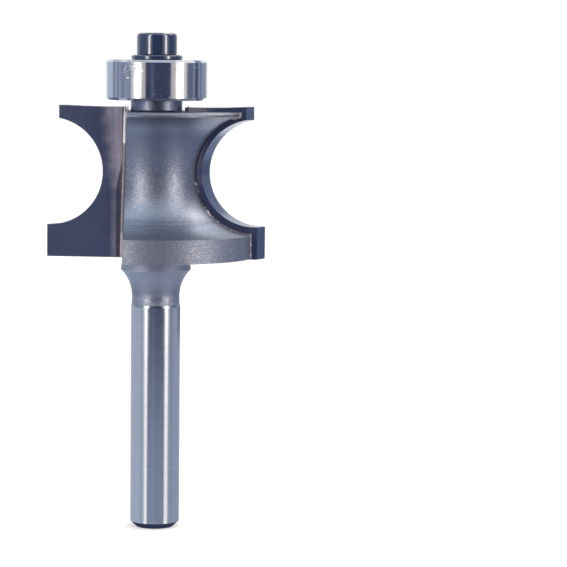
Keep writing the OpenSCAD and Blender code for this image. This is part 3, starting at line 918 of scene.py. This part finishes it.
def head_rings(turn):
    """Rings of the head: socket floor, hexagon wall, mouth, rounded top, side and underside."""
    hexa = hexagon(turn, SOCKET_FLATS)
    rings = [(0.02, HEAD_TOP - 1.9), (0.55, HEAD_TOP - 1.72), (1.12, HEAD_TOP - 1.42)]
    rings += [(hexa, HEAD_TOP - 1.4), (hexa, HEAD_TOP - 0.12)]
    rings += [(np.maximum(hexa, 1.36), HEAD_TOP - 0.04), (np.maximum(hexa, 1.45), HEAD_TOP)]
    arc = HEAD_ROUND * np.exp(1j * np.linspace(math.pi / 2, 0.0, 9))
    rings += [(HEAD_R - HEAD_ROUND + a.real, HEAD_TOP - HEAD_ROUND + a.imag) for a in arc]
    rings += [(HEAD_R, HEAD_BOTTOM + 0.3), (HEAD_R, HEAD_BOTTOM + 0.1), (HEAD_R - 0.1, HEAD_BOTTOM)]
    rings += [(1.70, HEAD_BOTTOM), (1.55, HEAD_BOTTOM - 0.12)]
    return [ring_at(turn, radius, z) for radius, z in rings]


def thread_rings(turn, crest=1.55, depth=0.27, pitch=0.5, length=9.5):
    """Radius = crest less depth times a triangle wave of (height / pitch - turn), thinning at the point."""
    bottom = HEAD_BOTTOM - length
    z = np.arange(THREAD_TOP, bottom, -pitch / 8)[:, None]
    wave = np.abs(np.mod(z / pitch - turn / (2 * math.pi), 1.0) * 2.0 - 1.0)
    start = np.clip((THREAD_TOP - z) / 0.6, 0.0, 1.0)
    point = np.clip((z - bottom) / 0.4, 0.0, 1.0)
    radius = np.minimum(crest - depth * wave * start, crest - 0.4 * (1.0 - point))
    rings = [ring_at(turn, r, height) for r, height in zip(radius, z[:, 0])]
    return rings + [ring_at(turn, radius[-1], bottom), ring_at(turn, 0.02, bottom)]


def guide_screw():
    """Head and thread in one closed skin."""
    turn = np.linspace(0.0, 2 * math.pi, SCREW_STEPS, endpoint=False)
    rings = head_rings(turn) + thread_rings(turn)
    piece = shell("socket_head_screw", np.concatenate(rings), capped(len(rings), len(turn)), 30.0)
    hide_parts("guide_screw")
    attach(piece, "cutter")
    return piece


SCREW = guide_screw()

# %% [markdown]
# Black oxide is a thin blue-black skin that is sealed with oil. Under its gloss the steel is uneven. It
# could be a dark metal, but that would dim the lamps' columns as much as the rest. So the skin is a dark
# base with a glossy coat over it, and both have small dents. The corners are rubbed down to bare steel.

# %% Finish: black oxide
def make_black_oxide():
    """Blue-black base under a coat of oil, both dented, and bare steel along the corners."""
    material, tree, shader = finish("black_oxide")
    oil = place_group(tree, HANDLING, {"Patch mm": 1.2})
    grain = place_group(tree, BLAST_GRAIN, {"Grains per mm": 5.0})
    colour = blend_colour(tree, oil["Mottle"], (0.017, 0.034, 0.088, 1.0), (0.026, 0.044, 0.100, 1.0))
    colour = lay(tree, colour, worn(tree, 0.06, 0.8), 0.5, (0.45, 0.46, 0.48, 1.0))
    tree.links.new(colour, shader.inputs["Base Color"])
    tree.links.new(blend_value(tree, oil["Patches"], 0.08, 0.12), shader.inputs["Roughness"])
    dented = bump(tree, grain["Height"], 0.20, 0.02)
    tree.links.new(bump(tree, oil["Mottle"], 0.12, 0.02, dented), shader.inputs["Normal"])
    tree.links.new(dented, shader.inputs["Coat Normal"])
    shader.inputs["Metallic"].default_value = 0.3
    shader.inputs["Coat Weight"].default_value = 1.0
    shader.inputs["Coat IOR"].default_value = 1.75
    shader.inputs["Coat Roughness"].default_value = 0.10
    return material


BLACK_OXIDE = make_black_oxide()
SCREW.data.materials.append(BLACK_OXIDE)
dress(BLACK_OXIDE, "guide_washer")

# %% [markdown]
# Bearing
#
# The rings are ground and polished bearing steel. Under a long lens they mirror the studio as upright
# bands. Handling leaves small bright pits all over and patches of scuffs, the main one where the ring was
# knocked. Scratches could be modelled as grooves. Here a scuff is drawn where soft noise crosses its
# middle value, because that line wanders as a scratch does and costs no faces.

# %% Finish: polished ring steel
KNOCK = Vector((-2.16, -5.97, 57.6)) * MM


def scuffs_and_pits(tree, place):
    """1 on the middle line of a noise inside the knocked patches, and on the peaks of a fine noise."""
    wander = speckle(tree, place, 900.0, 2.0, 0.6)
    off_middle = maths(tree, "ABSOLUTE", maths(tree, "SUBTRACT", wander, 0.5))
    knock = spread(tree, vectors(tree, "DISTANCE", place, KNOCK)["Value"], 1.4 * MM, 0.9 * MM)
    patches = maths(tree, "MAXIMUM", knock, spread(tree, speckle(tree, place, 260.0, 1.0), 0.70, 0.76))
    scuffs = maths(tree, "MULTIPLY", spread(tree, off_middle, 0.022, 0.008), patches)
    pits = spread(tree, speckle(tree, place, 5200.0, 1.0, 0.5), 0.735, 0.78)
    return maths(tree, "MAXIMUM", scuffs, pits), pits


def ring_normal(tree, place, lines, marks):
    """Three bumps on top of one another: a faint unevenness, grinding lines, and the marks as dents."""
    normal = bump(tree, speckle(tree, place, 2600.0, 2.0, 0.7), 0.22, 0.012)
    normal = bump(tree, lines["Height"], 0.15, 0.01, normal)
    return bump(tree, maths(tree, "SUBTRACT", 1.0, marks), 1.0, 0.04, normal)


def make_ring_steel():
    """Polished steel with faint grinding lines and marks; the chamfers, at a slope, are glossier."""
    material, tree, shader = finish("polished_ring_steel")
    lines = place_group(tree, TURNING_LINES, {"Lines per mm": 20.0, "Drift": 0.1})
    oil = place_group(tree, HANDLING, {"Patch mm": 2.0})
    place = here(tree)
    marks, pits = scuffs_and_pits(tree, place)
    colour = blend_colour(tree, lines["Shade"], (0.56, 0.58, 0.62, 1.0), (0.68, 0.69, 0.72, 1.0))
    bare = maths(tree, "MAXIMUM", worn(tree, 0.06, 0.4), pits)
    colour = blend_colour(tree, bare, colour, (0.80, 0.80, 0.83, 1.0))
    tree.links.new(colour, shader.inputs["Base Color"])
    slope = facing(tree, 2)
    chamfer = maths(tree, "MULTIPLY", spread(tree, slope, 0.3, 0.5), spread(tree, slope, 0.97, 0.9))
    rough = blend_value(tree, chamfer, blend_value(tree, oil["Patches"], 0.08, 0.14), 0.05)
    tree.links.new(blend_value(tree, marks, rough, 0.5), shader.inputs["Roughness"])
    tree.links.new(ring_normal(tree, place, lines, marks), shader.inputs["Normal"])
    shader.inputs["Metallic"].default_value = 1.0
    return material


dress(make_ring_steel(), "bearing_outer_ring", "bearing_inner_ring")

# %% [markdown]
# Balls, cage and shields lie inside the bearing or just show at its end. Balls are lapped to a mirror, and
# the cage and shields are pressed from strip and sheet, which keep a soft shine. They differ in shade,
# gloss and lines only, so one recipe with those as its inputs makes all three.

# %% Finish: balls, cage and shields
def make_plain_steel(name, dark, light, rough_low, rough_high, lines_per_mm):
    """Bright sheet or ball steel: a fine mottling between two shades and two roughnesses."""
    material, tree, shader = finish(name)
    oil = place_group(tree, HANDLING, {"Patch mm": 1.0})
    lines = place_group(tree, TURNING_LINES, {"Lines per mm": lines_per_mm, "Drift": 0.5})
    colour = blend_colour(tree, oil["Mottle"], (*dark, 1.0), (*light, 1.0))
    colour = lay(tree, colour, worn(tree, 0.05, 0.5), 0.6, (0.82, 0.82, 0.84, 1.0))
    tree.links.new(colour, shader.inputs["Base Color"])
    tree.links.new(blend_value(tree, oil["Patches"], rough_low, rough_high), shader.inputs["Roughness"])
    tree.links.new(bump(tree, lines["Height"], 0.12, 0.01), shader.inputs["Normal"])
    shader.inputs["Metallic"].default_value = 1.0
    return material


BALL_STEEL = make_plain_steel("ball_steel", (0.66, 0.67, 0.70), (0.74, 0.75, 0.77), 0.05, 0.09, 4.0)
CAGE_STRIP = make_plain_steel("cage_strip", (0.44, 0.42, 0.38), (0.58, 0.55, 0.50), 0.28, 0.42, 10.0)
SHIELD_SHEET = make_plain_steel("shield_sheet", (0.30, 0.32, 0.36), (0.42, 0.44, 0.48), 0.30, 0.42, 12.0)
dress(BALL_STEEL, *["ball_%d" % i for i in range(1, 8)])
dress(CAGE_STRIP, "cage_lower_half", "cage_upper_half", "cage_rivets")
dress(SHIELD_SHEET, "shield_lower", "shield_upper")

# %% [markdown]
# Studio
#
# Bright metal shows its surroundings, so they are arranged as a product photographer would: a pale table
# and a white room, two tall strip lamps to the left and right of the lens, a dark card behind the lens
# and grey cards at the sides. A photograph of a studio wrapped round the scene would need a file. The
# white room is the world's own light, a little weaker where it lights than where it is seen, so that
# the bit keeps its dark sides. The table glows a little where it is seen, to stay as pale as paper.

# %% White room and table
TABLE_STEPS = 96


def looked_at(tree):
    """1 for rays from the camera, a mirror or glass, 0 for those that gather light on a dull surface."""
    path = node(tree, "ShaderNodeLightPath").outputs
    seen = maths(tree, "ADD", path["Is Camera Ray"], path["Is Glossy Ray"], clamp=True)
    return maths(tree, "ADD", seen, path["Is Transmission Ray"], clamp=True)


def white_room():
    """World of plain white: strength 1 where it is looked at, 0.75 where it lights."""
    world = bpy.data.worlds.new("white_room")
    bpy.context.scene.world = world
    world.use_nodes = True
    tree = world.node_tree
    tree.nodes.clear()
    strength = blend_value(tree, looked_at(tree), 0.75, 1.0)
    sky = node(tree, "ShaderNodeBackground", None, {"Color": (1.0, 1.0, 1.0, 1.0), "Strength": strength})
    node(tree, "ShaderNodeOutputWorld", None, {0: sky.outputs[0]})


def table():
    """Round table top just under the shank's end: rings of points about the axis, filled in the middle."""
    turn = np.linspace(0.0, 2 * math.pi, TABLE_STEPS, endpoint=False)
    rings = [ring_at(turn, reach, -0.02) for reach in (0.5, 30.0, 200.0, 1000.0, 6000.0)]
    middle = [list(range(TABLE_STEPS))]
    top = new_piece("table", np.concatenate(rings), grid_faces(len(rings), TABLE_STEPS, False, True) + middle)
    material, tree, shader = finish("pale_table")
    shader.inputs["Base Color"].default_value = (0.86, 0.86, 0.86, 1.0)
    shader.inputs["Roughness"].default_value = 0.7
    shader.inputs["Specular IOR Level"].default_value = 0.1
    shader.inputs["Emission Color"].default_value = (1.0, 1.0, 1.0, 1.0)
    tree.links.new(maths(tree, "MULTIPLY", looked_at(tree), 0.35), shader.inputs["Emission Strength"])
    top.data.materials.append(material)
    return top


white_room()
print("table of", len(table().data.polygons), "faces in a white room")

# %% [markdown]
# A card is a thin sheet that glows by itself and shows in reflections only, so its place can be chosen
# for what the metal mirrors and nothing else. How light a card is, is one number. Cards in the room's cool
# light are bluer the darker they are, and papers beside the lamps are warm. A card is the corner of a
# room: it runs out flat over the table and then stands upright.

# %% A card
CARD_STEPS = 24


def cool(level):
    """Colour of a card in the room's light: a little less red and more blue the darker it is."""
    return (0.86 * level ** 1.12, 0.95 * level ** 1.08, 1.05 * level ** 0.84, 1.0)


def warm(level):
    """Colour of paper in the lamps' light: the level itself, with a little less green and blue."""
    return (level, 0.955 * level, 0.95 * level, 1.0)


def glowing(name, level, tone, near_level, near, far):
    """Material that only glows; with a near level, it goes from that to its own level with the distance."""
    material = bpy.data.materials.new(name)
    material.use_nodes = True
    tree = material.node_tree
    tree.nodes.clear()
    glow = node(tree, "ShaderNodeEmission", None, {"Color": tone(level), "Strength": 1.0})
    if near_level is not None:
        share = spread(tree, vectors(tree, "LENGTH", here(tree))["Value"], near * MM, far * 0.7 * MM)
        tree.links.new(blend_colour(tree, share, tone(near_level), tone(level)), glow.inputs["Color"])
    node(tree, "ShaderNodeOutputMaterial", None, {0: glow.outputs[0]})
    return material


def card(name, from_deg, to_deg, level, near=470.0, far=520.0, low=0.3, high=560.0, near_level=None, foot=0.0,
         tone=cool):
    """Flat from near to far, then upright. Each edge runs out at an azimuth from the lens, and starts at the
    place on a round foot whose mirrored ray has that azimuth, which is half of it round the foot."""
    turn = np.radians(np.linspace(from_deg, to_deg, CARD_STEPS))
    reach = np.array([near, near + (far - near) * 0.4, far, far])[:, None]
    height = np.array([low, low, low, high])[:, None]
    x = foot * np.sin(AZIMUTH + turn / 2) + reach * np.sin(AZIMUTH + turn)
    y = -foot * np.cos(AZIMUTH + turn / 2) - reach * np.cos(AZIMUTH + turn)
    points = np.stack([x, y, np.repeat(height, CARD_STEPS, 1)], -1)
    piece = new_piece(name, points, grid_faces(len(reach), CARD_STEPS, False, False))
    piece.data.materials.append(glowing(name, level, tone, near_level, near, far))
    piece.visible_camera = False
    piece.visible_diffuse = False
    piece.visible_shadow = False
    piece.visible_transmission = False
    return piece


print("a card of level 0.5 has the colour", [round(part, 3) for part in cool(0.5)])

# %% [markdown]
# The outside of a round bar mirrors the whole room: a place at some angle round the bar shows the wall at
# twice that angle. So each grey step that the photograph shows across the bearing is one wall or slat
# here, from behind on the left, past the dark card behind the lens, to behind on the right. One warm
# sheet hangs high on the right, over the wall, for the soft light low in the hollow.

# %% Side walls of the studio
def slat(name, from_deg, to_deg, level):
    """Narrow card a little in front of a wall, for the fine steps of grey."""
    return card(name, from_deg, to_deg, level, near=460.0, far=500.0)


card("wall_back_left", -150.0, -117.0, 0.72)
card("wall_left", -117.0, -60.0, 0.36)
slat("slat_left_1", -108.0, -102.0, 0.55)
slat("slat_left_2", -95.0, -88.0, 0.48)
slat("slat_left_3", -79.0, -66.0, 0.43)
card("paper_left", -60.0, -52.5, 0.82, tone=warm)
card("paper_left_inner", -35.0, -25.5, 0.68, tone=warm)
card("dark_behind_lens", -25.5, 32.0, 0.09)
slat("seam_behind_lens", -14.0, -6.0, 0.16)
card("paper_right_inner", 32.0, 44.0, 0.68, tone=warm)
card("paper_right", 62.0, 72.0, 0.82, tone=warm)
card("wall_right", 72.0, 121.0, 0.22)
slat("slat_right_1", 89.0, 96.0, 0.36)
slat("slat_right_2", 96.0, 107.0, 0.14)
slat("slat_right_3", 107.0, 116.0, 0.40)
card("wall_back_right", 121.0, 150.0, 0.44)
card("sheet_right_high", 100.0, 146.0, 1.25, 130.0, 330.0, 375.0, 345.0, tone=warm)

# %% [markdown]
# The lens looks down a little, so the upright shank mirrors the table and not the walls. Mats on the
# table give it its own bright and dark stripes. Each mat starts at the shank's foot, close enough for its
# edge to meet the stripe that it makes. A shade round the foot darkens the shank's end, and the ceiling
# gives the upper edges something to mirror.

# %% Mats, shades and ceiling
def mat(name, from_deg, to_deg, level, near_level=None, tone=cool, low=0.3):
    """Card that lies on the table, as the shank mirrors it."""
    return card(name, from_deg, to_deg, level, 1.5, 470.0, low, low + 0.1, near_level, 3.2, tone)


mat("mat_left", -150.0, -51.0, 0.66)
mat("mat_left_slat", -72.0, -62.0, 0.54, low=0.5)
mat("mat_left_strip", -51.0, -37.0, 1.60, 1.35, warm)
mat("mat_front", -37.0, 43.0, 0.08, 0.40)
mat("mat_front_slat", -16.0, -3.0, 0.14, 0.45, low=0.5)
mat("mat_right_strip", 43.0, 60.0, 1.60, 1.35, warm)
mat("mat_right", 60.0, 150.0, 0.51)
mat("mat_right_slat", 72.0, 86.0, 0.36, 0.46, low=0.5)
card("shade_back_right", 121.0, 150.0, 0.22, 200.0, 450.0, 0.6, 36.0)
card("foot_shade", -180.0, 180.0, 0.12, 0.05, 3.4, -0.01, -0.01)
card("foot_shade_edge", -180.0, 180.0, 0.42, 3.4, 4.9, -0.01, -0.01)
card("ceiling", -180.0, 180.0, 0.80, 1.0, 420.0, 620.0, 620.0)

# %% [markdown]
# The strip lamps make the two bright columns on every round part. Each is a broad soft lamp with a narrow
# one before it, which gives a column its bright core. One lamp high behind lights the far edges, and a
# small warm one high on the right makes the glow low in the hollow.

# %% Lamps
HIGHEST_AIM = 260.0


def strip_lamp(name, azimuth_deg, distance, width, height, middle, power, tint=(1.0, 0.91, 0.82)):
    """Soft lamp that faces the axis, level or from above, and is warmer than the room."""
    turn = AZIMUTH + math.radians(azimuth_deg)
    lamp = bpy.data.lights.new(name, "AREA")
    lamp.shape = "RECTANGLE"
    lamp.size = width * MM
    lamp.size_y = height * MM
    lamp.energy = power
    lamp.color = tint
    piece = bpy.data.objects.new(name, lamp)
    piece.location = Vector((distance * math.sin(turn), -distance * math.cos(turn), middle)) * MM
    aim = Vector((0.0, 0.0, min(middle, HIGHEST_AIM) * MM))
    piece.rotation_euler = (aim - piece.location).to_track_quat("-Z", "Y").to_euler()
    piece.visible_camera = False
    bpy.context.scene.collection.objects.link(piece)
    return piece


strip_lamp("strip_left", -43.7, 480.0, 140.0, 600.0, 300.0, 0.46)
strip_lamp("strip_left_core", -43.7, 470.0, 46.0, 600.0, 300.0, 0.58)
strip_lamp("strip_right", 53.5, 480.0, 142.0, 600.0, 300.0, 0.50)
strip_lamp("strip_right_core", 52.5, 470.0, 46.0, 600.0, 300.0, 0.60)
strip_lamp("lamp_behind", 152.0, 330.0, 140.0, 140.0, 490.0, 0.45)
strip_lamp("lamp_right_high", 116.0, 330.0, 60.0, 60.0, 350.0, 0.34, (1.0, 0.80, 0.62))
print("lamps:", [lamp.name for lamp in bpy.data.lights])

# %% [markdown]
# View
#
# The colours are shown as they are written, without a film look, because the photograph's white is plain
# white.

# %% View
bpy.context.scene.view_settings.view_transform = "Standard"
